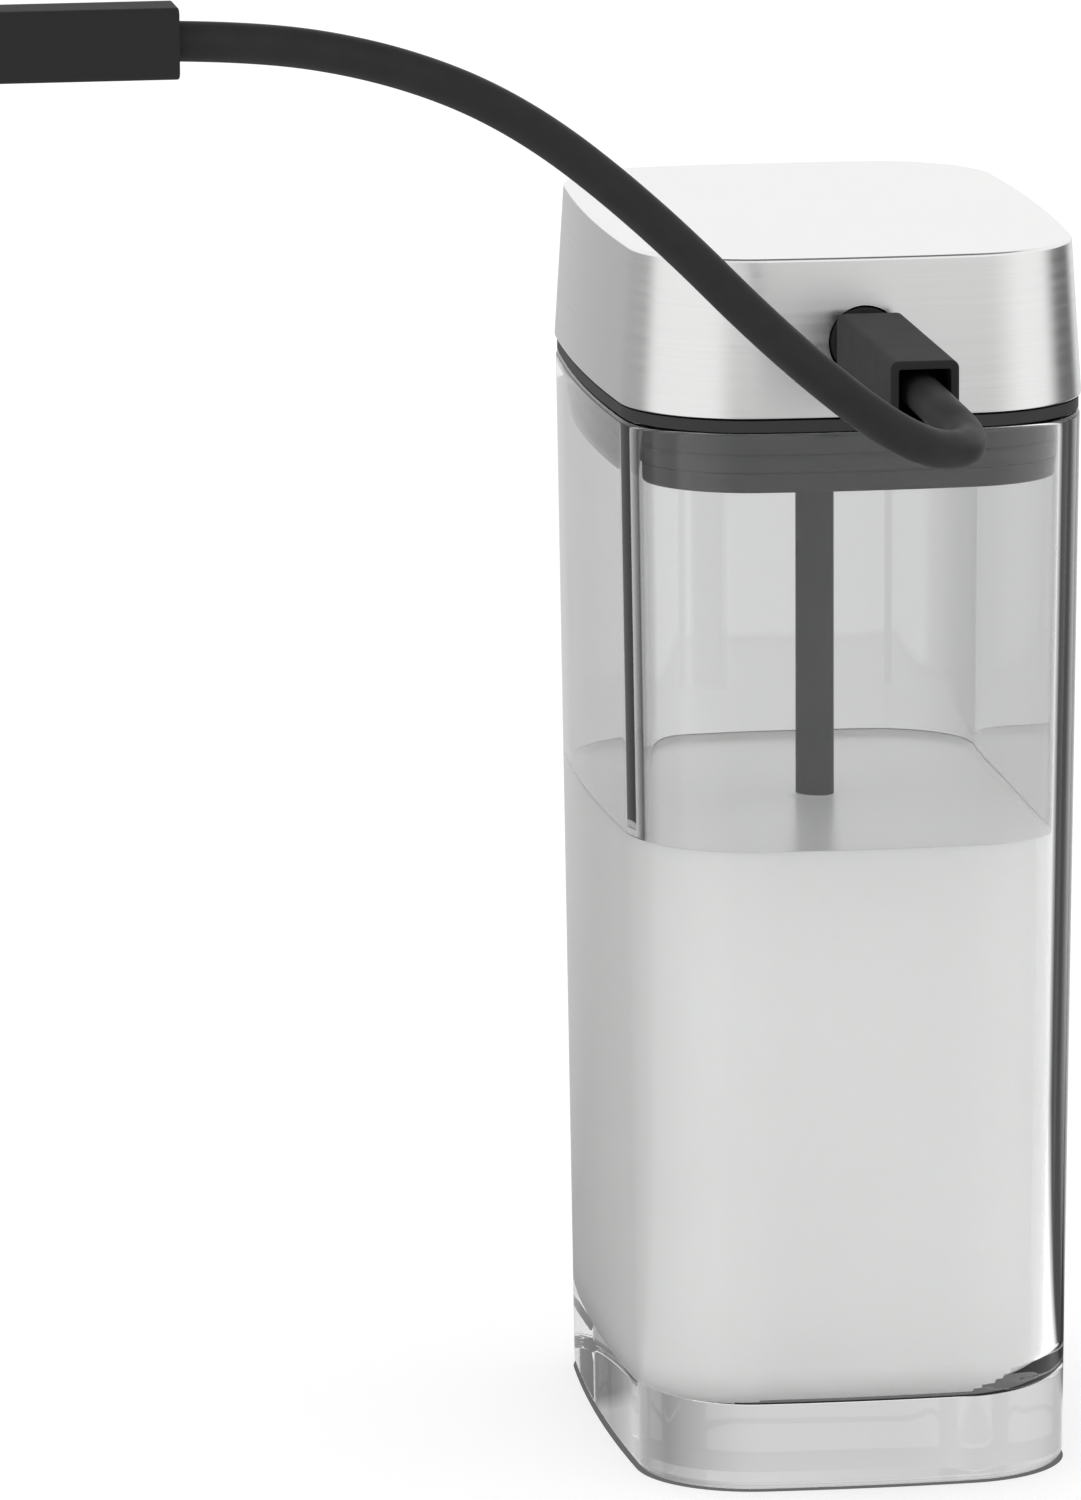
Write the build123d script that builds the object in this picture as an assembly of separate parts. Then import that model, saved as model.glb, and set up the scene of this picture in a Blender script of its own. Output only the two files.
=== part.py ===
from build123d import *
import os
from math import acos, degrees, pi, sqrt, tan

# Milk container with a lid, an intake tube and a hose, for a coffee machine's milk frother.
# Millimetres. +Z is up and -Y is the front, where the hose port is. The origin is the centre of
# the jar's underside.

# Driving dimensions of the container
width = 79.0
depth = 113.0
height = 205.5
corner = 22.0            # corner radius of the outline, seen from above
side_bulge = 550.0       # radius of the long sides, seen from above
end_bulge = 290.0        # radius of the front and back, seen from above
cap_height = 26.0
cap_draft = 1.6          # how much smaller the cap is all round at its top
jar_draft = 2.4          # how much smaller the jar is all round at its foot
jar_wall = 3.4
jar_floor = 13.0
jar_foot_round = 1.5
jar_rim_round = 0.8
cavity_round = 7.0
cap_round = 0.6
steel = 0.8
moulding = 1.6
gap = 0.3                # between pieces that come apart

# Heights that follow from them
cap_bottom = height - cap_height
flange_thickness = 1.9
flange_top = cap_bottom - gap
flange_bottom = flange_top - flange_thickness
jar_top = flange_bottom - gap
jar_top_inset = 0.2
plug_depth = 10.5
plug_bottom = flange_bottom - plug_depth
plug_inset = jar_top_inset + jar_wall + 0.6
plug_wall = 3.6
deck = 2.5
deck_top = plug_bottom + deck
upstand_inset = 3.2
upstand_top = cap_bottom + 4.8
snap_height = cap_bottom + 2.6
snap_spread = 15.0       # from the middle to each hook of the front and back
seal_bottom = plug_bottom + 3.2
seal_top = seal_bottom + 3.2
seal_depth = 1.6

# Milk path
tube_radius = 3.2
tube_bore = 2.2
tube_bottom = jar_floor + 3.5
channel = 2.0            # radius of the duct's bore
duct_socket_depth = 12.0
duct_radius = 5.5
arm_radius = 3.5
gasket = 0.8
duct_plate = 2.5
duct_bottom = deck_top + gasket
duct_foot = 12.0
duct_screw_x = 10.0
ring_height = duct_bottom + 4.0
screw_radius = 1.3
screw_head = 1.8
screw_head_radius = 2.6
vent_radius = 1.0
vent_y = 35.0

# Port in the front of the cap
port_x = -1.0
port_z = 191.7
port_radius = 5.65
port_front = -55.5
port_bore = 3.05
port_flange_front = -52.7
port_flange_back = -51.2
port_flange = 7.0
port_clearance = 0.35    # round the port in the cap and the liner
port_tail = 5.0
port_tail_end = -43.0
collar_front = port_tail_end + gasket
collar_back = collar_front + 1.5
duct_collar = 4.8
washer_radius = 4.6
nut_flats = 14.0
nut_lip = 1.3

# Hose connector: a square sleeve around a round spigot
sleeve_side = 11.0
sleeve_length = 50.0
sleeve_wall = 1.35
sleeve_corner = 1.3
sleeve_hollow = 44.3
spigot_radius = 3.0
spigot_root = 3.3        # radius where it sits in the sleeve's closed end
spigot_bore = 1.8
spigot_reach = 14.3      # how far the spigot stands out of the sleeve's closed end
barb_radius = 2.4
collar_radius = 4.0
collar = 2.0
ferrule_radius = 4.1
ferrule_mouth = 12.3     # how far inside the sleeve's mouth the hose enters the ferrule
ring_section = 0.42      # radius of the O-ring's section
groove_radius = 2.1
groove_width = 1.6
groove_from_tip = 4.2

# Hose: straight runs between these points, joined by tangent arcs
hose_radius = 3.1
near_mouth = (port_x, -110.3, port_z)
far_mouth = (-123.4, -149.0, 256.0)
hose_route = [
    (-1, -98, 191.7), (-1, -114, 191.7), (3.5, -135, 187), (-10, -151, 190), (-30, -151, 206),
    (-51, -149, 227.5), (-71, -149, 243.5), (-91, -149, 252), (-114, -149, 256),
    (-135.7, -149, 256),
]


def plan(inset, z):
    """The container's outline at one height: a rounded rectangle with slightly bulged sides."""
    half_width = width / 2 - inset
    half_depth = depth / 2 - inset
    corner_x = half_width - side_bulge + sqrt(side_bulge ** 2 - half_depth ** 2)
    corner_y = half_depth - end_bulge + sqrt(end_bulge ** 2 - half_width ** 2)
    sides = [
        ThreePointArc((corner_x, -corner_y), (half_width, 0), (corner_x, corner_y)),
        ThreePointArc((corner_x, corner_y), (0, half_depth), (-corner_x, corner_y)),
        ThreePointArc((-corner_x, corner_y), (-half_width, 0), (-corner_x, -corner_y)),
        ThreePointArc((-corner_x, -corner_y), (0, -half_depth), (corner_x, -corner_y)),
    ]
    face = make_face(sides)
    return Pos(0, 0, z) * fillet(face.vertices(), corner - inset)


def block(low_inset, low_z, high_inset, high_z):
    """A solid between the outline at two heights."""
    return loft([plan(low_inset, low_z), plan(high_inset, high_z)], ruled=True)


def slab(inset, low_z, high_z):
    """A block with upright walls."""
    return block(inset, low_z, inset, high_z)


def rod(radius, low, high, x=0.0, y=0.0):
    """An upright cylinder."""
    return Pos(x, y, (low + high) / 2) * Cylinder(radius, high - low)


def port_rod(radius, front, back):
    """A cylinder on the port's axis, between two distances along Y."""
    turned = Rotation(90, 0, 0) * Cylinder(radius, back - front)
    return Pos(port_x, (front + back) / 2, port_z) * turned


def ring(major, section):
    """An O-ring around Z."""
    return Torus(major, section)


def jar_inset(z):
    """How far the jar's outside is inside the outline at a height."""
    return jar_top_inset + jar_draft * (1 - z / jar_top)


def make_jar():
    """Clear jar: a drafted body with a thick floor, and a cavity with a rounded bottom."""
    outside = block(jar_inset(0), 0, jar_top_inset, jar_top)
    outside = fillet(outside.edges().group_by(Axis.Z)[0], jar_foot_round)
    outside = fillet(outside.edges().group_by(Axis.Z)[-1], jar_rim_round)
    rise = 2.0
    floor_inset = jar_inset(jar_floor) + jar_wall
    rim_inset = jar_inset(jar_top + rise) + jar_wall
    cavity = block(floor_inset, jar_floor, rim_inset, jar_top + rise)
    cavity = fillet(cavity.edges().group_by(Axis.Z)[0], cavity_round)
    return outside - cavity


def cap_inset(z):
    """How far the cap's outside is inside the outline at a height."""
    return cap_draft * (z - cap_bottom) / cap_height


def cap_block(offset, low_z, high_z):
    """A block that follows the cap's draft, a distance inside its outside."""
    return block(cap_inset(low_z) + offset, low_z, cap_inset(high_z) + offset, high_z)


def make_cap_shell():
    """Drawn steel cap with a rounded top edge and the port's hole."""
    outside = cap_block(0, cap_bottom, height)
    outside = fillet(outside.edges().group_by(Axis.Z)[-1], cap_round)
    inside = cap_block(steel, cap_bottom - 1, height - steel)
    hole = port_rod(port_radius + port_clearance, -60, -50)
    return outside - inside - hole


def snap_places():
    """Where the liner's four snap hooks are: centre and turn about Z."""
    x = width / 2 - upstand_inset
    y = depth / 2 - upstand_inset
    spread = snap_spread
    return [(x, 0, 90), (-x, 0, 270), (spread, y, 180), (-spread, y, 180), (spread, -y, 0), (-spread, -y, 0)]


def snap(size, deepen):
    """The snap hooks' solids, or the windows for them."""
    hooks = []
    for x, y, turn in snap_places():
        hook = Rotation(0, 0, turn) * Box(size, 1.4 + deepen, 2.0 + deepen)
        hooks.append(Pos(x, y, snap_height) * hook)
    return hooks


def make_cap_liner():
    """Moulded liner bonded inside the steel cap, with hooks that snap into the lid's upstand."""
    skin = steel + 0.1
    outside = cap_block(skin, cap_bottom + 1, height - skin)
    inside = cap_block(skin + moulding, cap_bottom, height - skin - moulding)
    hole = port_rod(port_radius + port_clearance, -60, -50)
    liner = outside - inside - hole
    for hook in snap(8.0, 0.0):
        liner += hook
    return liner


def make_lid_body():
    """Dark lid moulding: a flange on the jar's rim, a plug inside it and an upstand in the cap."""
    body = slab(0.3, flange_bottom, flange_top)
    plug = slab(plug_inset, plug_bottom, flange_bottom)
    body += fillet(plug.edges().group_by(Axis.Z)[0], 0.8)
    body += slab(upstand_inset, flange_top, upstand_top)
    body -= slab(plug_inset + plug_wall, deck_top, upstand_top + 1)
    groove = slab(plug_inset - 1, seal_bottom, seal_top)
    groove -= slab(plug_inset + seal_depth, seal_bottom, seal_top)
    body -= groove
    for window in snap(9.0, 0.5):
        body -= window
    body -= rod(tube_radius + 0.3, plug_bottom - 1, deck_top + 1)
    body -= rod(vent_radius, plug_bottom - 1, deck_top + 1, y=vent_y)
    for x in (-duct_screw_x, duct_screw_x):
        body -= rod(screw_radius, plug_bottom + 1, deck_top + 1, x=x)
    return body


def make_lid_seal():
    """Soft seal in the plug's groove; its lip slides on the jar's wall."""
    lip_inset = jar_inset(seal_bottom) + jar_wall + 0.1
    outside = slab(lip_inset, seal_bottom, seal_top)
    outside = fillet(outside.edges().filter_by(Plane.XY), 0.9)
    return outside - slab(plug_inset + seal_depth, seal_bottom - 1, seal_top + 1)


def plate(low_z, high_z):
    """The oval foot plate of the duct, with its tube hole and screw holes."""
    foot = SlotCenterToCenter(2 * duct_screw_x, duct_foot)
    solid = Pos(0, 0, low_z) * extrude(foot, high_z - low_z)
    for x in (-duct_screw_x, duct_screw_x):
        solid -= rod(screw_radius, low_z - 1, high_z + 1, x=x)
    return solid


def make_duct_gasket():
    """Flat gasket under the duct's foot."""
    solid = plate(deck_top, duct_bottom)
    return solid - rod(tube_radius + 0.05, deck_top - 1, duct_bottom + 1)


def make_milk_duct():
    """Elbow from the intake tube up and forward to the port."""
    socket_top = duct_bottom + duct_socket_depth
    body = plate(duct_bottom, duct_bottom + duct_plate)
    body += rod(duct_radius, duct_bottom, port_z + 5)
    body += port_rod(arm_radius, collar_front, 0)
    body += port_rod(duct_collar, collar_front, collar_back)
    body -= rod(tube_radius + 0.05, duct_bottom - 1, socket_top)
    body -= rod(channel, socket_top - 1, port_z)
    body -= port_rod(channel, collar_front - 1, 1)
    body -= Pos(0, 0, ring_height) * ring(tube_radius + 0.5, 0.52)
    return body


def make_duct_screws():
    """Two pan-head screws that hold the duct's foot to the deck."""
    seat = duct_bottom + duct_plate
    screws = []
    for x in (-duct_screw_x, duct_screw_x):
        head = rod(screw_head_radius, seat, seat + screw_head, x=x)
        head = fillet(head.edges().group_by(Axis.Z)[-1], 0.8)
        slot = Pos(x, 0, seat + screw_head) * Box(3.6, 0.7, 1.4)
        screws.append(head + rod(screw_radius, plug_bottom + 1.2, seat, x=x) - slot)
    return Compound(children=screws)


def make_intake_tube():
    """Straight tube from the duct down to the jar's floor, with a slanted lower end."""
    top = duct_bottom + duct_socket_depth - 0.3
    tube = rod(tube_radius, tube_bottom, top) - rod(tube_bore, tube_bottom - 1, top + 1)
    wedge = Rotation(0, 35, 0) * Box(30, 30, 10)
    return tube - Pos(0, 0, tube_bottom - 4) * wedge


def make_port_socket():
    """Round bush in the cap's front, with a flange behind the liner and a tail for the nut."""
    body = port_rod(port_radius, port_front, port_flange_front)
    body = chamfer(body.edges().group_by(Axis.Y)[0], 0.3)
    body += port_rod(port_flange, port_flange_front, port_flange_back)
    body += port_rod(port_tail, port_flange_back, port_tail_end)
    body -= port_rod(port_bore, port_front - 1, port_tail_end - 1.5)
    body -= port_rod(channel, port_front, port_tail_end + 1)
    return body


def make_port_washer():
    """Flat washer between the port's tail and the duct's collar."""
    return port_rod(washer_radius, port_tail_end, collar_front) - port_rod(channel + 0.2, -60, 0)


def make_port_nut():
    """Union nut that draws the duct's collar against the port's tail."""
    front = port_tail_end - 6.0
    back = collar_back + nut_lip
    hexagon = RegularPolygon(nut_flats / 2, 6, major_radius=False)
    nut = Pos(port_x, back, port_z) * (Rotation(90, 0, 0) * extrude(hexagon, back - front))
    nut -= port_rod(port_tail, front - 1, collar_back)
    return nut - port_rod(arm_radius + 0.1, front, back + 1)


def make_sleeve():
    """Square sleeve with an open mouth; its mouth is at Z = 0 and faces +Z."""
    body = Pos(0, 0, -sleeve_length / 2) * Box(sleeve_side, sleeve_side, sleeve_length)
    body = fillet(body.edges().filter_by(Axis.Z), sleeve_corner)
    inner = sleeve_side - 2 * sleeve_wall
    hollow = Pos(0, 0, 1 - sleeve_hollow / 2) * Box(inner, inner, sleeve_hollow + 2)
    hollow = fillet(hollow.edges().filter_by(Axis.Z), 0.4)
    return body - hollow - rod(spigot_root, -sleeve_length - 1, 0)


def make_spigot():
    """Round spigot with a collar inside the sleeve, a barb for the hose and an O-ring groove."""
    tip = -sleeve_length - spigot_reach
    root_top = -sleeve_hollow + 1
    nose = rod(spigot_radius, tip, -sleeve_length)
    body = chamfer(nose.edges().group_by(Axis.Z)[0], 0.4)
    body += rod(spigot_root, -sleeve_length, root_top)
    body += rod(collar_radius, root_top, root_top + collar)
    body += rod(barb_radius, root_top + collar, -ferrule_mouth - 2)
    groove = tip + groove_from_tip
    body -= rod(spigot_radius + 1, groove, groove + groove_width)
    body += rod(groove_radius, groove - 0.5, groove + groove_width + 0.5)
    return body - rod(spigot_bore, tip - 1, 0)


def make_spigot_ring():
    """O-ring in the spigot's groove."""
    groove_middle = -sleeve_length - spigot_reach + groove_from_tip + groove_width / 2
    return Pos(0, 0, groove_middle) * ring(groove_radius + 0.06 + ring_section, ring_section)


def make_ferrule():
    """Ferrule that clamps the hose on the barb; the hose enters its face."""
    low = -sleeve_hollow + 1 + collar
    body = rod(ferrule_radius, low, -ferrule_mouth)
    return body - rod(barb_radius, low - 1, -ferrule_mouth - 2)


def bend_radii(points):
    """The tangent arc's radius and the turn in degrees at each corner of the route."""
    radii = []
    turns = []
    for before, here, after in zip(points, points[1:], points[2:]):
        first = Vector(*here) - Vector(*before)
        second = Vector(*after) - Vector(*here)
        turn = acos(first.dot(second) / (first.length * second.length))
        radii.append(0.45 * min(first.length, second.length) / tan(turn / 2))
        turns.append(degrees(turn))
    return radii, turns


def make_hose():
    """The milk hose as a plain tube along its route."""
    radii, turns = bend_radii(hose_route)
    path = FilletPolyline(*hose_route, radius=radii)
    start = Plane(origin=path @ 0, z_dir=path % 0)
    hose = sweep(start * Circle(hose_radius), path=path)
    print("hose bend radii", [round(radius, 1) for radius in radii])
    print("hose turns", [round(turn) for turn in turns])
    print("hose length", round(path.length, 1))
    plain = pi * hose_radius ** 2 * path.length
    print("hose volume over section x length", round(hose.volume / plain, 4))
    return hose


near_end = Plane(origin=near_mouth, z_dir=(0, -1, 0), x_dir=(1, 0, 0))
far_end = Plane(origin=far_mouth, z_dir=(1, 0, 0), x_dir=(0, 1, 0))

parts = {
    "jar": make_jar(),
    "lid_body": make_lid_body(),
    "lid_seal": make_lid_seal(),
    "cap_shell": make_cap_shell(),
    "cap_liner": make_cap_liner(),
    "duct_gasket": make_duct_gasket(),
    "milk_duct": make_milk_duct(),
    "duct_screws": make_duct_screws(),
    "tube_o_ring": Pos(0, 0, ring_height) * ring(tube_radius + 0.5, 0.48),
    "intake_tube": make_intake_tube(),
    "port_socket": make_port_socket(),
    "port_washer": make_port_washer(),
    "port_nut": make_port_nut(),
    "port_sleeve": near_end * make_sleeve(),
    "port_spigot": near_end * make_spigot(),
    "port_o_ring": near_end * make_spigot_ring(),
    "port_ferrule": near_end * make_ferrule(),
    "milk_hose": make_hose(),
    "machine_sleeve": far_end * make_sleeve(),
    "machine_spigot": far_end * make_spigot(),
    "machine_o_ring": far_end * make_spigot_ring(),
    "machine_ferrule": far_end * make_ferrule(),
}

os.makedirs("parts", exist_ok=True)
for name, solid in parts.items():
    export_step(solid, f"parts/{name}.step")
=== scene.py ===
from math import atan2, cos, pi, radians, sin, sqrt

import bmesh
import bpy
from bpy.props import FloatProperty, FloatVectorProperty, PointerProperty
from mathutils import Matrix, Vector


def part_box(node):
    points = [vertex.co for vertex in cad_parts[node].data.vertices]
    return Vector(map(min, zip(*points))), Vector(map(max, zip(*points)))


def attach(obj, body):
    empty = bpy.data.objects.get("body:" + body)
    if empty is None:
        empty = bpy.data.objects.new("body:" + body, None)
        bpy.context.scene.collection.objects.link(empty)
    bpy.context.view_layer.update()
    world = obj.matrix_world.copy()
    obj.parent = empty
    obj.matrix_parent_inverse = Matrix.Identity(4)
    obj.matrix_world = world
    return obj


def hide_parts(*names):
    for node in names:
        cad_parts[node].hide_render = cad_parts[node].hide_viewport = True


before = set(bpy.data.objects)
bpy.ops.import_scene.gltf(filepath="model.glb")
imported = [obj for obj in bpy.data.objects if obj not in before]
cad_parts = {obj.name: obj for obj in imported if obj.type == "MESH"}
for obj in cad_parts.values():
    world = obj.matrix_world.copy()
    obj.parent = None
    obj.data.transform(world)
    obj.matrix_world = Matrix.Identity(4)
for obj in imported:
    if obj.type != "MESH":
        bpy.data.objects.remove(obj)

bl_info = {
    "name": "Milk container",
    "version": (1, 0, 0),
    "blender": (4, 5, 0),
    "location": "View3D > Sidebar > Milk container",
    "description": "Clear jar with a steel lid, an intake tube, milk and a hose with two connectors",
    "category": "Add Mesh",
}

CORNER_STEPS = 20        # points in each corner of the outline
SIDE_STEPS = 12          # points in each half of a side
ROUND_STEPS = 5          # points in a rounded edge
SQUARE_STEPS = 6         # points in each corner of a sleeve


def length(name, description, default):
    """A length that the user can change, in metres."""
    return FloatProperty(name=name, description=description, default=default, subtype="DISTANCE", precision=5)


def colour(name, description, default):
    """A colour that the user can change."""
    return FloatVectorProperty(
        name=name, description=description, default=default, subtype="COLOR", size=3, min=0.0, max=1.0
    )


def share(name, description, default):
    """A number from 0 to 1 that the user can change."""
    return FloatProperty(name=name, description=description, default=default, min=0.0, max=1.0)


def size_of(node):
    """How large a node of the frame is, along X, Y and Z."""
    low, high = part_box(node)
    return high - low


class MILKPOT_PG_sizes(bpy.types.PropertyGroup):
    """Sizes of the jar, the milk, the cap and the connectors."""

    width: length("Width", "Outline from side to side", 0.079)
    depth: length("Depth", "Outline from front to back", 0.113)
    corner: length("Corner radius", "Corners of the outline, seen from above", 0.022)
    side_bulge: length("Side bulge", "Radius of the long sides, seen from above", 0.55)
    end_bulge: length("End bulge", "Radius of the front and back, seen from above", 0.29)
    jar_draft: length("Jar draft", "How much smaller the jar is all round at its foot", 0.0024)
    jar_top_inset: length("Jar step", "How far the jar's top is inside the outline", 0.0002)
    jar_wall: length("Jar wall", "Thickness of the glass", 0.0034)
    jar_floor: length("Jar floor", "Height of the glass base", 0.013)
    cavity_round: length("Cavity round", "Rounding at the bottom of the cavity", 0.007)
    cap_draft: length("Cap draft", "How much smaller the cap is all round at its top", 0.0016)
    cap_steel: length("Cap steel", "Thickness of the cap's steel", 0.0008)
    cap_round: length("Cap edge", "Rounding of the cap's top edge", 0.0006)
    port_hole: length("Port hole", "Radius of the hole in the cap's front", 0.006)
    milk_level: length("Milk level", "Height of the milk's surface", 0.1065)
    sleeve_wall: length("Sleeve wall", "Wall of the square sleeves", 0.00135)
    sleeve_hollow: length("Sleeve hollow", "Depth of the square sleeves inside", 0.0443)
    sleeve_corner: length("Sleeve corner", "Rounded long edges of the square sleeves", 0.0013)
    spigot_root: length("Spigot root", "Radius of the hole in a sleeve's closed end", 0.0033)
    hose_radius: length("Hose radius", "Outside radius of the hose", 0.0031)


class MILKPOT_PG_finishes(bpy.types.PropertyGroup):
    """Colours and finishes of the materials."""

    steel: colour("Steel", "Brushed steel of the cap", (0.86, 0.86, 0.855))
    steel_roughness: share("Steel roughness", "How matt the brushed steel is", 0.24)
    glass: colour("Glass", "Tint of the jar", (0.945, 0.948, 0.948))
    milk: colour("Milk", "Colour of the milk", (0.96, 0.96, 0.955))
    moulding: colour("Dark moulding", "Dark plastic of the lid, the tube and the port", (0.046, 0.046, 0.047))
    sleeve: colour("Sleeve", "Dark plastic of the square sleeves", (0.027, 0.027, 0.028))
    pale: colour("Pale moulding", "Light plastic of the duct and the liner", (0.62, 0.62, 0.6))
    seal: colour("Seal", "Rubber of the seals", (0.044, 0.044, 0.045))
    hose: colour("Hose", "Rubber of the hose", (0.026, 0.026, 0.027))
    screw: colour("Screws", "Bright steel of the screws", (0.72, 0.72, 0.71))


class MILKPOT_PG_stage(bpy.types.PropertyGroup):
    """Camera, floor and light."""

    azimuth: FloatProperty(
        name="Azimuth", description="How far left of the front the camera stands",
        default=0.1449, subtype="ANGLE",
    )
    pitch: FloatProperty(
        name="Pitch", description="How far the camera looks down", default=0.1915, subtype="ANGLE"
    )
    roll: FloatProperty(
        name="Roll", description="How far the camera leans", default=-0.0053, subtype="ANGLE"
    )
    lens: FloatProperty(
        name="Lens", description="Focal length in millimetres", default=280.2, min=10.0
    )
    distance: length("Distance", "From the camera to the point that it aims at", 1.9594)
    aim_side: length("Aim to the side", "How far right of the origin the camera aims", -0.045889)
    aim_height: length("Aim height", "Height of the point that the camera aims at", 0.11401)
    floor: colour("Floor", "Colour of the floor", (0.42, 0.42, 0.42))
    floor_fill: share("Floor fill", "Light added to the floor so that it stays white", 0.62)
    sky: FloatProperty(
        name="Sky", description="Brightness of the white surroundings", default=1.0, min=0.0
    )
    mirror_radius: length("Mirrored ring", "Radius of the ring of panels that the steel mirrors", 0.9)
    glass_radius: length("Ring behind glass", "Radius of the ring of panels seen through the glass", 0.27)
    mirror_height: length("Mirrored ring height", "Height of the ring that the steel mirrors", 0.2)
    mirror_ceiling: share("Mirrored ceiling", "Brightness overhead that shows in gloss", 0.15)
    # Brightness of the dark mat under the jar's foot, which is a painted contact shadow
    painted_contact_shadow: share("Painted contact shadow", "Brightness of the floor right under the jar", 0.14)
    glass_height: length("Glass ring height", "Height of the ring seen through the glass", 0.135)
    upper_height: length("Upper ring height", "Height of the plain bright ring over it", 0.5)
    upper_light: FloatProperty(
        name="Upper light", description="Brightness of the plain bright ring", default=1.25, min=0.0
    )
    glass_sky: FloatProperty(
        name="Sky over glass", description="Brightness overhead seen through the glass", default=1.8, min=0.0
    )


# Shapes

def meet(first, first_radius, second, second_radius):
    """Where two circles cross in the quarter with positive X and Y."""
    along = second - first
    distance = along.length
    reach = (first_radius ** 2 - second_radius ** 2 + distance ** 2) / (2 * distance)
    rise = sqrt(first_radius ** 2 - reach ** 2)
    along = along / distance
    across = Vector((-along.y, along.x))
    crossings = [first + along * reach + across * side for side in (rise, -rise)]
    return max(crossings, key=lambda point: min(point.x, point.y))


def arc(centre, radius, start, stop, steps):
    """Points on an arc, without its last one."""
    turns = [start + (stop - start) * step / steps for step in range(steps)]
    return [centre + radius * Vector((cos(turn), sin(turn))) for turn in turns]


def outline(sizes, inset):
    """The container seen from above: a rounded rectangle with slightly bulged sides."""
    half_width = sizes.width / 2 - inset
    half_depth = sizes.depth / 2 - inset
    radius = sizes.corner - inset
    side_centre = Vector((half_width - sizes.side_bulge, 0.0))
    end_centre = Vector((0.0, half_depth - sizes.end_bulge))
    corner = meet(side_centre, sizes.side_bulge - radius, end_centre, sizes.end_bulge - radius)
    start = atan2(corner.y - side_centre.y, corner.x - side_centre.x)
    stop = atan2(corner.y - end_centre.y, corner.x - end_centre.x)
    quarter = arc(side_centre, sizes.side_bulge, 0.0, start, SIDE_STEPS)
    quarter += arc(corner, radius, start, stop, CORNER_STEPS)
    quarter += arc(end_centre, sizes.end_bulge, stop, pi / 2, SIDE_STEPS)
    quarter.append(Vector((0.0, half_depth)))
    return all_round(quarter)


def all_round(quarter):
    """A closed outline from its first quarter, which is mirrored three times."""
    points = []
    for across, up, backward in ((1, 1, False), (-1, 1, True), (-1, -1, False), (1, -1, True)):
        side = [Vector((across * point.x, up * point.y)) for point in quarter]
        if backward:
            side.reverse()
        points += side[:-1]
    return points


def edge_round(inset, height, radius, start, stop, steps=ROUND_STEPS):
    """Insets and heights round an edge. 0 degrees points outward, 90 up and -90 down."""
    profile = []
    for step in range(steps + 1):
        turn = radians(start + (stop - start) * step / steps)
        profile.append((inset - radius * cos(turn), height + radius * sin(turn)))
    return profile


def lofted(rings, closed=False):
    """A solid skinned over rings of points. Its ends are capped, or joined where it is closed."""
    solid = bmesh.new()
    loops = [[solid.verts.new(point) for point in ring] for ring in rings]
    pairs = list(zip(loops, loops[1:]))
    if closed:
        pairs.append((loops[-1], loops[0]))
    else:
        solid.faces.new(loops[0])
        solid.faces.new(loops[-1])
    count = len(rings[0])
    for low, high in pairs:
        for here in range(count):
            after = (here + 1) % count
            solid.faces.new((low[here], low[after], high[after], high[here]))
    bmesh.ops.recalc_face_normals(solid, faces=solid.faces)
    return solid


def outline_rings(sizes, profile):
    """The container's outline at each inset and height of a profile."""
    return [[point.to_3d() + Vector((0, 0, z)) for point in outline(sizes, inset)] for inset, z in profile]


def add_piece(name, solid, materials):
    """A new object from a bmesh, smooth, with its flat faces kept flat."""
    mesh = bpy.data.meshes.new(name)
    solid.to_mesh(mesh)
    solid.free()
    piece = bpy.data.objects.new(name, mesh)
    bpy.context.scene.collection.objects.link(piece)
    for material in materials:
        mesh.materials.append(material)
    smooth(piece)
    return piece


def smooth(piece):
    """Smooth shading that follows the larger faces beside each rounded edge."""
    piece.data.shade_smooth()
    normals = piece.modifiers.new("Normals", "WEIGHTED_NORMAL")
    normals.keep_sharp = True
    normals.weight = 100


def jar_inset(sizes, height):
    """How far the jar's outside is inside the outline at a height."""
    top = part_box("jar")[1].z
    return sizes.jar_top_inset + sizes.jar_draft * (1 - height / top)


def cavity_profile(sizes, level, wet=0.0, lift=0.0):
    """The cavity from a level down to its rounded bottom, spread outward and lifted a little."""
    wall = sizes.jar_wall - wet
    floor = sizes.jar_floor + lift
    turn_height = floor + sizes.cavity_round
    profile = [(jar_inset(sizes, level) + wall, level)]
    bottom_inset = jar_inset(sizes, turn_height) + wall + sizes.cavity_round
    profile += edge_round(bottom_inset, turn_height, sizes.cavity_round, 0, -90, 12)
    return profile


# Materials

def new_material(name, base, roughness, metallic=0.0):
    """A material with its main shader. Returns the material and the shader."""
    material = bpy.data.materials.new(name)
    material.use_nodes = True
    shader = material.node_tree.nodes["Principled BSDF"]
    shader.inputs["Base Color"].default_value = (*base, 1.0)
    shader.inputs["Roughness"].default_value = roughness
    shader.inputs["Metallic"].default_value = metallic
    return material, shader


def noise(material, scale, detail=2.0, stretch=(1.0, 1.0, 1.0)):
    """A noise in the object's own coordinates. The scale is in features a metre."""
    nodes = material.node_tree.nodes
    links = material.node_tree.links
    place = nodes.new("ShaderNodeTexCoord")
    mapping = nodes.new("ShaderNodeMapping")
    mapping.inputs["Scale"].default_value = stretch
    texture = nodes.new("ShaderNodeTexNoise")
    texture.inputs["Scale"].default_value = scale
    texture.inputs["Detail"].default_value = detail
    links.new(place.outputs["Object"], mapping.inputs["Vector"])
    links.new(mapping.outputs["Vector"], texture.inputs["Vector"])
    return texture.outputs["Fac"]


def vary_roughness(material, shader, source, low, high):
    """Roughness that follows a noise between two values."""
    spread = material.node_tree.nodes.new("ShaderNodeMapRange")
    spread.inputs["From Min"].default_value = 0.3
    spread.inputs["From Max"].default_value = 0.7
    spread.inputs["To Min"].default_value = low
    spread.inputs["To Max"].default_value = high
    material.node_tree.links.new(source, spread.inputs["Value"])
    material.node_tree.links.new(spread.outputs["Result"], shader.inputs["Roughness"])


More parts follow.
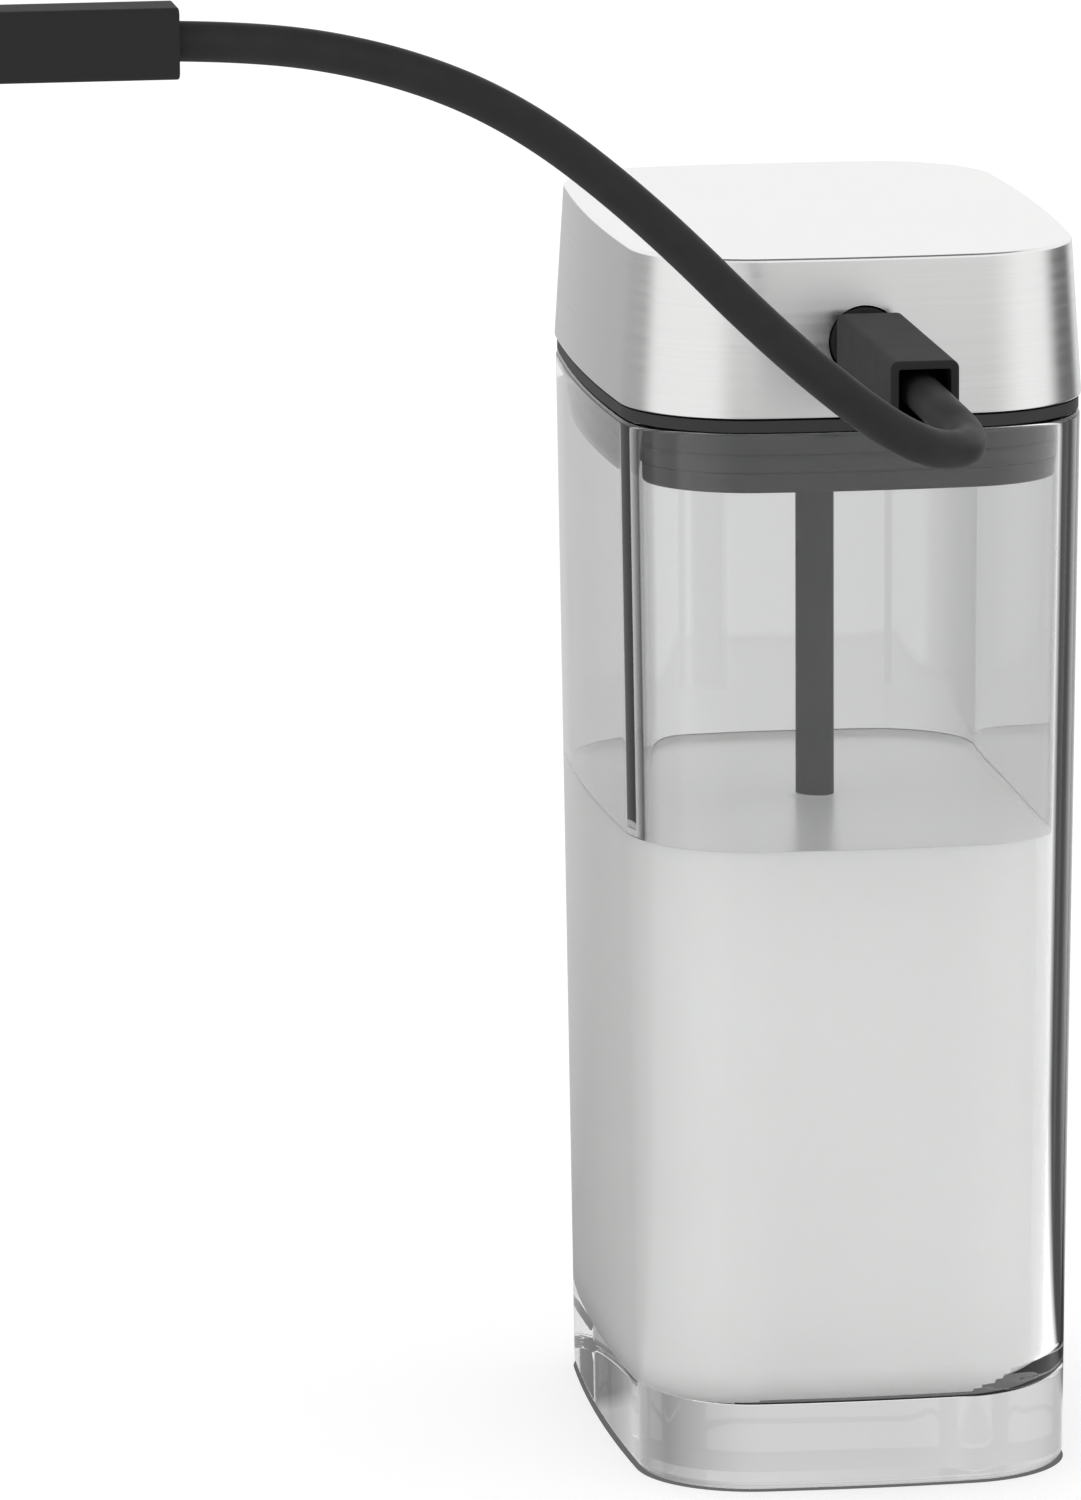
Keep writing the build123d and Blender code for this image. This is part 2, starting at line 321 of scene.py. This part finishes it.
def vary_colour(material, shader, source, base, amount):
    """Colour that follows a noise, a share darker and lighter than the base."""
    ramp = material.node_tree.nodes.new("ShaderNodeValToRGB")
    ramp.color_ramp.elements[0].position = 0.3
    ramp.color_ramp.elements[1].position = 0.7
    for element, factor in zip(ramp.color_ramp.elements, (1 - amount, 1 + amount)):
        element.color = (*[min(1.0, part * factor) for part in base], 1.0)
    material.node_tree.links.new(source, ramp.inputs["Fac"])
    material.node_tree.links.new(ramp.outputs["Color"], shader.inputs["Base Color"])


def add_bump(material, shader, source, strength, height):
    """Fine relief that follows a noise. The height is in metres."""
    bump = material.node_tree.nodes.new("ShaderNodeBump")
    bump.inputs["Strength"].default_value = strength
    bump.inputs["Distance"].default_value = height
    material.node_tree.links.new(source, bump.inputs["Height"])
    material.node_tree.links.new(bump.outputs["Normal"], shader.inputs["Normal"])


def brushed_steel(name, base, roughness, along):
    """Steel with a fine brushed grain that runs along one axis."""
    material, shader = new_material(name, base, roughness, metallic=1.0)
    stretch = {"X": (0.004, 1.0, 1.0), "ROUND": (0.004, 0.004, 1.0)}[along]
    coarse = noise(material, 900, 2.0, stretch)
    fine = noise(material, 5000, 2.0, stretch)
    vary_roughness(material, shader, coarse, roughness - 0.03, roughness + 0.03)
    vary_colour(material, shader, fine, base, 0.015)
    add_bump(material, shader, fine, 0.03, 0.00002)
    return material


def clear_glass(finishes):
    """Clear pressed glass with a faint grey tint and a very slight waviness."""
    material, shader = new_material("clear glass", finishes.glass, 0.0)
    shader.inputs["Transmission Weight"].default_value = 1.0
    shader.inputs["IOR"].default_value = 1.5
    add_bump(material, shader, noise(material, 30, 1.0), 0.03, 0.0002)
    return material


def fresh_milk(finishes):
    """Opaque white milk with light scattered under its surface."""
    material, shader = new_material("milk", finishes.milk, 0.3)
    shader.inputs["Subsurface Weight"].default_value = 0.3
    shader.inputs["Subsurface Radius"].default_value = (0.004, 0.0036, 0.003)
    shader.inputs["Subsurface Scale"].default_value = 1.0
    vary_colour(material, shader, noise(material, 25, 3.0), finishes.milk, 0.012)
    return material


def moulded_plastic(name, base, roughness, grain=3000):
    """Moulded plastic with a fine spark-eroded grain and slightly uneven gloss."""
    material, shader = new_material(name, base, roughness)
    shader.inputs["Specular IOR Level"].default_value = 0.03
    vary_roughness(material, shader, noise(material, 180, 3.0), roughness - 0.015, roughness + 0.015)
    vary_colour(material, shader, noise(material, 900, 3.0), base, 0.012)
    add_bump(material, shader, noise(material, grain, 1.0), 0.03, 0.00002)
    return material


def soft_rubber(name, base, roughness):
    """Extruded or moulded rubber with a satin skin and faint blooming."""
    material, shader = new_material(name, base, roughness)
    shader.inputs["Specular IOR Level"].default_value = 0.08
    shader.inputs["Sheen Weight"].default_value = 0.01
    shader.inputs["Sheen Roughness"].default_value = 0.4
    vary_roughness(material, shader, noise(material, 120, 4.0), roughness - 0.06, roughness + 0.08)
    vary_colour(material, shader, noise(material, 300, 3.0), base, 0.06)
    add_bump(material, shader, noise(material, 3000, 1.0), 0.03, 0.00002)
    return material


def give(material, *nodes):
    """Gives nodes of the frame a material in place of their plain ones."""
    for name in nodes:
        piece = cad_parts[name]
        if not piece.material_slots:
            piece.data.materials.append(material)
        for slot in piece.material_slots:
            slot.material = material


# Connectors and hose

# The hose's route in metres: straight runs that its line rounds off, from the port to the machine
HOSE_ROUTE = [
    (-0.001, -0.098, 0.1917), (-0.001, -0.114, 0.1917), (0.0035, -0.135, 0.187), (-0.010, -0.151, 0.190),
    (-0.030, -0.151, 0.206), (-0.051, -0.149, 0.2275), (-0.071, -0.149, 0.2435), (-0.091, -0.149, 0.252),
    (-0.114, -0.149, 0.256), (-0.1357, -0.149, 0.256),
]


def square_ring(half, radius, height):
    """A square with rounded corners across the sleeve's axis."""
    corner = Vector((half - radius, half - radius))
    quarter = [Vector((half, 0.0)), Vector((half, (half - radius) / 2))]
    quarter += arc(corner, radius, 0.0, pi / 2, SQUARE_STEPS)
    quarter += [Vector((half - radius, half)), Vector(((half - radius) / 2, half)), Vector((0.0, half))]
    return [point.to_3d() + Vector((0, 0, height)) for point in all_round(quarter)]


def round_ring(radius, height, like):
    """A circle with a point for each point of a square ring."""
    return [Vector((point.x, point.y, 0)).normalized() * radius + Vector((0, 0, height)) for point in like]


def sleeve_solid(sizes, half, reach):
    """Square sleeve with an open mouth at Z = 0 that faces +Z, and a hole in its closed end."""
    outer = sizes.sleeve_corner
    hollow_half = half - sizes.sleeve_wall
    hollow_corner = 0.0004
    edge = 0.00035
    lip = 0.00015
    rings = []
    for inset, z in edge_round(edge, edge - reach, edge, -90, 0, 3):
        rings.append(square_ring(half - inset, outer - inset, z))
    for inset, z in edge_round(edge, -edge, edge, 0, 90, 3):
        rings.append(square_ring(half - inset, outer - inset, z))
    for inset, z in edge_round(-lip, -lip, lip, 90, 180, 3):
        rings.append(square_ring(hollow_half - inset, hollow_corner - inset, z))
    rings.append(square_ring(hollow_half, hollow_corner, -sizes.sleeve_hollow))
    rings.append(round_ring(sizes.spigot_root, -sizes.sleeve_hollow, rings[0]))
    rings.append(round_ring(sizes.spigot_root, -reach, rings[0]))
    return lofted(rings, closed=True)


def add_sleeve(name, node, body, mouth, facing, sizes, material):
    """A square sleeve in place of its node, with its mouth at a point and facing along an axis."""
    size = size_of(node)
    reach = max(size)
    solid = sleeve_solid(sizes, min(size) / 2, reach)
    turn = facing.to_track_quat("Z", "Y").to_matrix().to_4x4()
    solid.transform(Matrix.Translation(mouth) @ turn)
    piece = add_piece(name, solid, [material])
    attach(piece, body)
    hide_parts(node)
    return piece


class MILKPOT_OT_hose_set(bpy.types.Operator):
    """The milk hose and its two square sleeves"""

    bl_idname = "milkpot.hose_set"
    bl_label = "Hose and sleeves"

    def execute(self, context):
        sizes = context.scene.milkpot_sizes
        finishes = context.scene.milkpot_finishes
        plastic = moulded_plastic("sleeve plastic", finishes.sleeve, 0.5)
        low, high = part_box("port_sleeve")
        near_mouth = Vector(((low.x + high.x) / 2, low.y, (low.z + high.z) / 2))
        front = Vector((0, -1, 0))
        add_sleeve("sleeve_at_port", "port_sleeve", "hose_set", near_mouth, front, sizes, plastic)
        low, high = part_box("machine_sleeve")
        far_mouth = Vector((high.x, (low.y + high.y) / 2, (low.z + high.z) / 2))
        side = Vector((1, 0, 0))
        far = add_sleeve("sleeve_at_machine", "machine_sleeve", "hose_set", far_mouth, side, sizes, plastic)
        self.hose(sizes, finishes, far)
        return {"FINISHED"}

    def hose(self, sizes, finishes, far_sleeve):
        """One smooth line along the route, as thick as the hose."""
        line = bpy.data.curves.new("hose", "CURVE")
        line.dimensions = "3D"
        spline = line.splines.new("NURBS")
        spline.points.add(len(HOSE_ROUTE) - 1)
        for point, place in zip(spline.points, HOSE_ROUTE):
            point.co = (*place, 1.0)
        spline.order_u = 3
        spline.use_endpoint_u = True
        spline.resolution_u = 16
        line.bevel_depth = sizes.hose_radius
        line.bevel_resolution = 8
        line.use_fill_caps = True
        line.materials.append(soft_rubber("hose rubber", finishes.hose, 0.46))
        hose = bpy.data.objects.new("hose", line)
        bpy.context.scene.collection.objects.link(hose)
        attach(hose, "hose_set")
        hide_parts("milk_hose")


class MILKPOT_OT_connector_fittings(bpy.types.Operator):
    """Spigots, O-rings and ferrules inside the two sleeves"""

    bl_idname = "milkpot.connector_fittings"
    bl_label = "Connector fittings"

    def execute(self, context):
        finishes = context.scene.milkpot_finishes
        give(moulded_plastic("spigot plastic", finishes.sleeve, 0.36), "port_spigot", "machine_spigot")
        give(soft_rubber("o-ring rubber", finishes.seal, 0.35), "port_o_ring", "machine_o_ring")
        # The ferrules are made as dark as the sleeves: painted shade for the dark inside of the sleeves
        give(moulded_plastic("ferrule painted shade", finishes.sleeve, 0.55), "port_ferrule", "machine_ferrule")
        return {"FINISHED"}


# Jar and milk

class MILKPOT_OT_jar(bpy.types.Operator):
    """Clear jar with a thick base and a rounded cavity"""

    bl_idname = "milkpot.jar"
    bl_label = "Jar"

    def execute(self, context):
        sizes = context.scene.milkpot_sizes
        foot = 0.0015
        rim = 0.0008
        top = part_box("jar")[1].z
        profile = edge_round(jar_inset(sizes, foot) + foot, foot, foot, -90, 0)
        profile += edge_round(jar_inset(sizes, top - rim) + rim, top - rim, rim, 0, 90)
        inner = jar_inset(sizes, top) + sizes.jar_wall
        profile += edge_round(inner - rim, top - rim, rim, 90, 180)
        profile += cavity_profile(sizes, top - 3 * rim)
        glass = clear_glass(context.scene.milkpot_finishes)
        piece = add_piece("jar_glass", lofted(outline_rings(sizes, profile)), [glass])
        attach(piece, "jar")
        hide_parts("jar")
        return {"FINISHED"}


# The milk's mesh overlaps the glass a little and stands a little to one side, for the look of its edges
MILK_OVERLAP = 0.0002
MILK_LIFT = 0.00015
MILK_SHIFT = -0.0003


class MILKPOT_OT_milk(bpy.types.Operator):
    """Milk that fills a little over half of the jar"""

    bl_idname = "milkpot.milk"
    bl_label = "Milk"

    def execute(self, context):
        sizes = context.scene.milkpot_sizes
        level = sizes.milk_level
        climb = 0.0009
        profile = cavity_profile(sizes, level + climb, wet=MILK_OVERLAP, lift=MILK_LIFT)
        profile.reverse()
        edge = profile[-1][0]
        for step in range(1, 6):
            share_in = step / 5
            profile.append((edge + 2 * climb * share_in, level + climb * (1 - share_in) ** 2))
        rings = outline_rings(sizes, profile)
        tube = size_of("intake_tube").x / 2
        for radius, rise in ((3.0, 0.0), (1.5, 0.0), (1.25, 0.12), (1.1, 0.4), (0.95, 1.0)):
            rings.append(round_ring(tube * radius, level + rise * climb / 2, rings[0]))
        solid = lofted(rings)
        solid.transform(Matrix.Translation((MILK_SHIFT, 0, 0)))
        piece = add_piece("milk", solid, [fresh_milk(context.scene.milkpot_finishes)])
        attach(piece, "jar")
        return {"FINISHED"}


# Lid

class MILKPOT_OT_cap(bpy.types.Operator):
    """Brushed steel cap with the port's hole, and the liner inside it"""

    bl_idname = "milkpot.cap"
    bl_label = "Cap"

    def execute(self, context):
        sizes = context.scene.milkpot_sizes
        finishes = context.scene.milkpot_finishes
        sides = brushed_steel("brushed sides", finishes.steel, finishes.steel_roughness, "ROUND")
        top = brushed_steel("brushed top", finishes.steel, finishes.steel_roughness, "X")
        piece = add_piece("cap_steel", self.shell(sizes), [sides, top])
        self.cut_hole(piece, sizes)
        for face in piece.data.polygons:
            face.material_index = int(abs(face.normal.z) > 0.7)
        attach(piece, "lid")
        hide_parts("cap_shell")
        give(moulded_plastic("liner plastic", finishes.pale, 0.5), "cap_liner")
        return {"FINISHED"}

    def shell(self, sizes):
        """A drawn cup of even thickness with a rounded top edge and a rolled lower edge."""
        low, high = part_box("cap_shell")
        bottom = low.z
        top = high.z
        steel = sizes.cap_steel
        lip = steel / 2
        edge = sizes.cap_round
        inner_edge = 0.0002
        profile = edge_round(sizes.cap_draft + edge, top - edge, edge, 90, 0, 6)
        profile += edge_round(lip, bottom + lip, lip, 0, -180, 6)
        inner = sizes.cap_draft + steel + inner_edge
        profile += edge_round(inner, top - steel - inner_edge, inner_edge, 0, 90, 3)
        return lofted(outline_rings(sizes, profile))

    def cut_hole(self, piece, sizes):
        """Cuts the port's round hole through the front."""
        low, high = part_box("port_socket")
        cutter = bmesh.new()
        bmesh.ops.create_cone(
            cutter, cap_ends=True, segments=96, radius1=sizes.port_hole, radius2=sizes.port_hole, depth=0.016
        )
        place = Vector(((low.x + high.x) / 2, low.y, (low.z + high.z) / 2))
        cutter.transform(Matrix.Translation(place) @ Matrix.Rotation(pi / 2, 4, "X"))
        mesh = bpy.data.meshes.new("hole cutter")
        cutter.to_mesh(mesh)
        cutter.free()
        tool = bpy.data.objects.new("hole cutter", mesh)
        bpy.context.scene.collection.objects.link(tool)
        cut = piece.modifiers.new("Hole", "BOOLEAN")
        cut.object = tool
        cut.operation = "DIFFERENCE"
        cut.solver = "EXACT"
        piece.modifiers.move(piece.modifiers.find("Hole"), 0)
        graph = bpy.context.evaluated_depsgraph_get()
        piece.modifiers["Normals"].show_viewport = False
        graph.update()
        cut_mesh = bpy.data.meshes.new_from_object(piece.evaluated_get(graph))
        piece.modifiers.remove(cut)
        piece.modifiers["Normals"].show_viewport = True
        piece.data = cut_mesh
        bpy.data.objects.remove(tool)


class MILKPOT_OT_lid(bpy.types.Operator):
    """Dark lid moulding and its soft seal"""

    bl_idname = "milkpot.lid"
    bl_label = "Lid"

    def execute(self, context):
        finishes = context.scene.milkpot_finishes
        give(moulded_plastic("lid plastic", finishes.moulding, 0.4), "lid_body")
        give(soft_rubber("lid seal rubber", finishes.seal, 0.5), "lid_seal")
        return {"FINISHED"}


class MILKPOT_OT_milk_path(bpy.types.Operator):
    """Intake tube, duct, its gasket and screws, and the port"""

    bl_idname = "milkpot.milk_path"
    bl_label = "Milk path"

    def execute(self, context):
        finishes = context.scene.milkpot_finishes
        give(moulded_plastic("tube plastic", finishes.moulding, 0.38), "intake_tube")
        give(moulded_plastic("port plastic", finishes.sleeve, 0.4), "port_socket")
        give(moulded_plastic("duct plastic", finishes.pale, 0.45), "milk_duct", "port_nut")
        give(
            soft_rubber("gasket rubber", finishes.seal, 0.45),
            "duct_gasket", "tube_o_ring", "port_washer",
        )
        give(brushed_steel("screw steel", finishes.screw, 0.25, "X"), "duct_screws")
        return {"FINISHED"}


# Stage

# Heights of the stage. The floor is a hair under the jar, so that the two never share a plane.
FLOOR_HEIGHT = -0.0002
PANEL_FLOOR_HEIGHT = -0.0005
PANEL_FOOT_HEIGHT = -0.002
CEILING_HEIGHT = 1.4
# The dark line is painted contact shadow: a dark mat round the jar's foot that the camera sees
PAINTED_SHADOW_SPREAD = 0.0002   # how far the dark line reaches past the jar's foot

# Brightness of the panels, by degrees to the left of the front
MIRRORED = (
    (-180, 0.74), (-140, 0.85), (-125, 0.12), (-100, 0.12), (-84, 0.95), (-55, 0.95),
    (-30, 0.56), (22, 0.52), (38, 0.92), (98, 0.92), (112, 0.36), (165, 0.46), (180, 0.74),
)
BEHIND_GLASS = (
    (-180, 0.69), (-166, 0.62), (-145, 0.3), (-135, 0.08), (-115, 0.08), (-105, 1.3), (-60, 1.4),
    (30, 1.2), (70, 1.6), (78, 0.6), (100, 0.5), (106, 0.05), (128, 0.05), (142, 0.35),
    (166, 0.62), (180, 0.69),
)


class MILKPOT_OT_stage(bpy.types.Operator):
    """Camera, pale floor, white surroundings and the panels that the steel mirrors"""

    bl_idname = "milkpot.stage"
    bl_label = "Stage"

    def execute(self, context):
        stage = context.scene.milkpot_stage
        context.scene.view_settings.view_transform = "Standard"
        self.camera(stage)
        self.sky(stage)
        self.floor(stage)
        mirrored = self.ring("mirrored_panels", stage.mirror_radius, PANEL_FOOT_HEIGHT, stage.mirror_height)
        self.show_to(mirrored, self.panels("mirrored panels", MIRRORED), "glossy")
        ground = self.disc("mirrored_floor", stage.mirror_radius, PANEL_FLOOR_HEIGHT)
        self.show_to(ground, mirrored.active_material, "glossy")
        ceiling = self.disc("mirrored_ceiling", stage.mirror_radius, CEILING_HEIGHT)
        self.show_to(ceiling, self.glow("mirrored ceiling", stage.mirror_ceiling), "glossy")
        radius = stage.glass_radius
        through = self.ring("panels_behind_glass", radius, PANEL_FOOT_HEIGHT, stage.glass_height)
        self.show_to(through, self.panels("panels behind glass", BEHIND_GLASS), "transmission")
        under = self.disc("floor_behind_glass", radius, PANEL_FLOOR_HEIGHT)
        self.show_to(under, through.active_material, "transmission")
        # Painted contact shadow: a dark mat under the jar's foot
        self.painted_contact_shadow(stage, context.scene.milkpot_sizes)
        upper = self.ring("upper_light", radius, stage.glass_height, stage.upper_height)
        self.show_to(upper, self.glow("upper light", stage.upper_light), "transmission")
        over = self.disc("sky_behind_glass", radius, stage.upper_height)
        self.show_to(over, self.glow("sky behind glass", stage.glass_sky), "transmission")
        return {"FINISHED"}

    def camera(self, stage):
        """Stands the camera a little left of the front, looking slightly down."""
        across = Vector((cos(stage.azimuth), -sin(stage.azimuth), 0))
        level = Vector((sin(stage.azimuth), cos(stage.azimuth), 0))
        ahead = cos(stage.pitch) * level - Vector((0, 0, sin(stage.pitch)))
        up = across.cross(ahead)
        right = cos(stage.roll) * across + sin(stage.roll) * up
        top = cos(stage.roll) * up - sin(stage.roll) * across
        aim = stage.aim_side * across + Vector((0, 0, stage.aim_height))
        data = bpy.data.cameras.new("camera")
        data.sensor_width = 36.0
        data.lens = stage.lens
        camera = bpy.data.objects.new("camera", data)
        turn = Matrix((right, top, -ahead)).transposed().to_4x4()
        camera.matrix_world = Matrix.Translation(aim - ahead * stage.distance) @ turn
        bpy.context.scene.collection.objects.link(camera)
        bpy.context.scene.camera = camera

    def sky(self, stage):
        """Plain white light from all round."""
        world = bpy.data.worlds.new("studio")
        world.use_nodes = True
        background = world.node_tree.nodes["Background"]
        background.inputs["Color"].default_value = (1.0, 1.0, 1.0, 1.0)
        background.inputs["Strength"].default_value = stage.sky
        bpy.context.scene.world = world

    def floor(self, stage):
        """A wide round floor just under the jar."""
        material, shader = new_material("floor", stage.floor, 0.8)
        shader.inputs["Specular IOR Level"].default_value = 0.1
        shader.inputs["Emission Color"].default_value = (1.0, 1.0, 1.0, 1.0)
        shader.inputs["Emission Strength"].default_value = stage.floor_fill
        floor = self.disc("floor", 12.0, FLOOR_HEIGHT)
        floor.data.materials.append(material)
        floor.visible_transmission = False
        floor.visible_glossy = False

    def painted_contact_shadow(self, stage, sizes):
        """The thin dark line of painted contact shadow where the jar's foot meets the floor: a faintly
        glowing dark mat.
        """
        foot = bmesh.new()
        edge = outline(sizes, jar_inset(sizes, 0.0) - PAINTED_SHADOW_SPREAD)
        foot.faces.new([foot.verts.new((*point, FLOOR_HEIGHT / 2)) for point in edge])
        contact = self.add_stage_piece("painted_contact_shadow", foot)
        material = self.glow("painted contact shadow", stage.painted_contact_shadow)
        self.show_to(contact, material, "camera glossy transmission")

    def disc(self, name, radius, height):
        """A flat disc of the stage at a height."""
        solid = bmesh.new()
        place = Matrix.Translation((0, 0, height))
        bmesh.ops.create_circle(solid, cap_ends=True, segments=128, radius=radius, matrix=place)
        return self.add_stage_piece(name, solid)

    def ring(self, name, radius, foot, height):
        """A ring of the stage between two heights."""
        solid = bmesh.new()
        steps = 180
        turns = [2 * pi * step / steps for step in range(steps)]
        low = [solid.verts.new((radius * cos(turn), radius * sin(turn), foot)) for turn in turns]
        high = [solid.verts.new((radius * cos(turn), radius * sin(turn), height)) for turn in turns]
        for here in range(steps):
            after = (here + 1) % steps
            solid.faces.new((low[here], low[after], high[after], high[here]))
        return self.add_stage_piece(name, solid)

    def add_stage_piece(self, name, solid):
        """A new object from a bmesh that isn't part of the container."""
        mesh = bpy.data.meshes.new(name)
        solid.to_mesh(mesh)
        solid.free()
        piece = bpy.data.objects.new(name, mesh)
        bpy.context.scene.collection.objects.link(piece)
        return piece

    def show_to(self, piece, material, rays):
        """Gives a panel its light and shows it only to some rays, such as reflections."""
        piece.data.materials.append(material)
        piece.visible_camera = "camera" in rays
        piece.visible_diffuse = False
        piece.visible_shadow = False
        piece.visible_glossy = "glossy" in rays
        piece.visible_transmission = "transmission" in rays

    def glow(self, name, strength):
        """Plain even light."""
        return self.panels(name, ((0, strength),))

    def panels(self, name, brightness):
        """Light that changes round the ring, given by degrees to the left of the front."""
        material = bpy.data.materials.new(name)
        material.use_nodes = True
        nodes = material.node_tree.nodes
        links = material.node_tree.links
        nodes.clear()
        place = nodes.new("ShaderNodeTexCoord")
        split = nodes.new("ShaderNodeSeparateXYZ")
        turn = nodes.new("ShaderNodeMath")
        turn.operation = "ARCTAN2"
        flip = nodes.new("ShaderNodeMath")
        flip.operation = "MULTIPLY"
        flip.inputs[1].default_value = -1.0
        part = nodes.new("ShaderNodeMapRange")
        part.inputs["From Min"].default_value = pi
        part.inputs["From Max"].default_value = -pi
        ramp = nodes.new("ShaderNodeValToRGB")
        glow = nodes.new("ShaderNodeEmission")
        output = nodes.new("ShaderNodeOutputMaterial")
        links.new(place.outputs["Object"], split.inputs["Vector"])
        links.new(split.outputs["Y"], flip.inputs[0])
        links.new(split.outputs["X"], turn.inputs[0])
        links.new(flip.outputs["Value"], turn.inputs[1])
        links.new(turn.outputs["Value"], part.inputs["Value"])
        links.new(part.outputs["Result"], ramp.inputs["Fac"])
        links.new(ramp.outputs["Color"], glow.inputs["Color"])
        links.new(glow.outputs["Emission"], output.inputs["Surface"])
        elements = ramp.color_ramp.elements
        elements.remove(elements[-1])
        for index, (angle, light) in enumerate(brightness):
            element = elements[0] if index == 0 else elements.new(1.0)
            element.position = (angle + 180) / 360
            element.color = (light, light, light, 1.0)
        return material


class MILKPOT_PT_panel(bpy.types.Panel):
    """Sidebar panel that lists the pieces"""

    bl_idname = "MILKPOT_PT_panel"
    bl_label = "Milk container"
    bl_space_type = "VIEW_3D"
    bl_region_type = "UI"
    bl_category = "Milk container"

    def draw(self, context):
        for operator in OPERATORS:
            self.layout.operator(operator.bl_idname)


OPERATORS = (
    MILKPOT_OT_stage,
    MILKPOT_OT_hose_set,
    MILKPOT_OT_connector_fittings,
    MILKPOT_OT_jar,
    MILKPOT_OT_milk,
    MILKPOT_OT_cap,
    MILKPOT_OT_lid,
    MILKPOT_OT_milk_path,
)
GROUPS = (MILKPOT_PG_sizes, MILKPOT_PG_finishes, MILKPOT_PG_stage)


def register():
    """Makes the settings, the operators and the panel known to Blender."""
    for item in (*GROUPS, *OPERATORS, MILKPOT_PT_panel):
        bpy.utils.register_class(item)
    bpy.types.Scene.milkpot_sizes = PointerProperty(type=MILKPOT_PG_sizes)
    bpy.types.Scene.milkpot_finishes = PointerProperty(type=MILKPOT_PG_finishes)
    bpy.types.Scene.milkpot_stage = PointerProperty(type=MILKPOT_PG_stage)


def unregister():
    """Takes the settings, the operators and the panel away again."""
    del bpy.types.Scene.milkpot_stage
    del bpy.types.Scene.milkpot_finishes
    del bpy.types.Scene.milkpot_sizes
    for item in reversed((*GROUPS, *OPERATORS, MILKPOT_PT_panel)):
        bpy.utils.unregister_class(item)


def main():
    """Builds every piece in order."""
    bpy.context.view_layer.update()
    register()
    bpy.ops.milkpot.stage()
    bpy.ops.milkpot.hose_set()
    bpy.ops.milkpot.connector_fittings()
    bpy.ops.milkpot.jar()
    bpy.ops.milkpot.milk()
    bpy.ops.milkpot.cap()
    bpy.ops.milkpot.lid()
    bpy.ops.milkpot.milk_path()


if __name__ == "__main__":
    main()
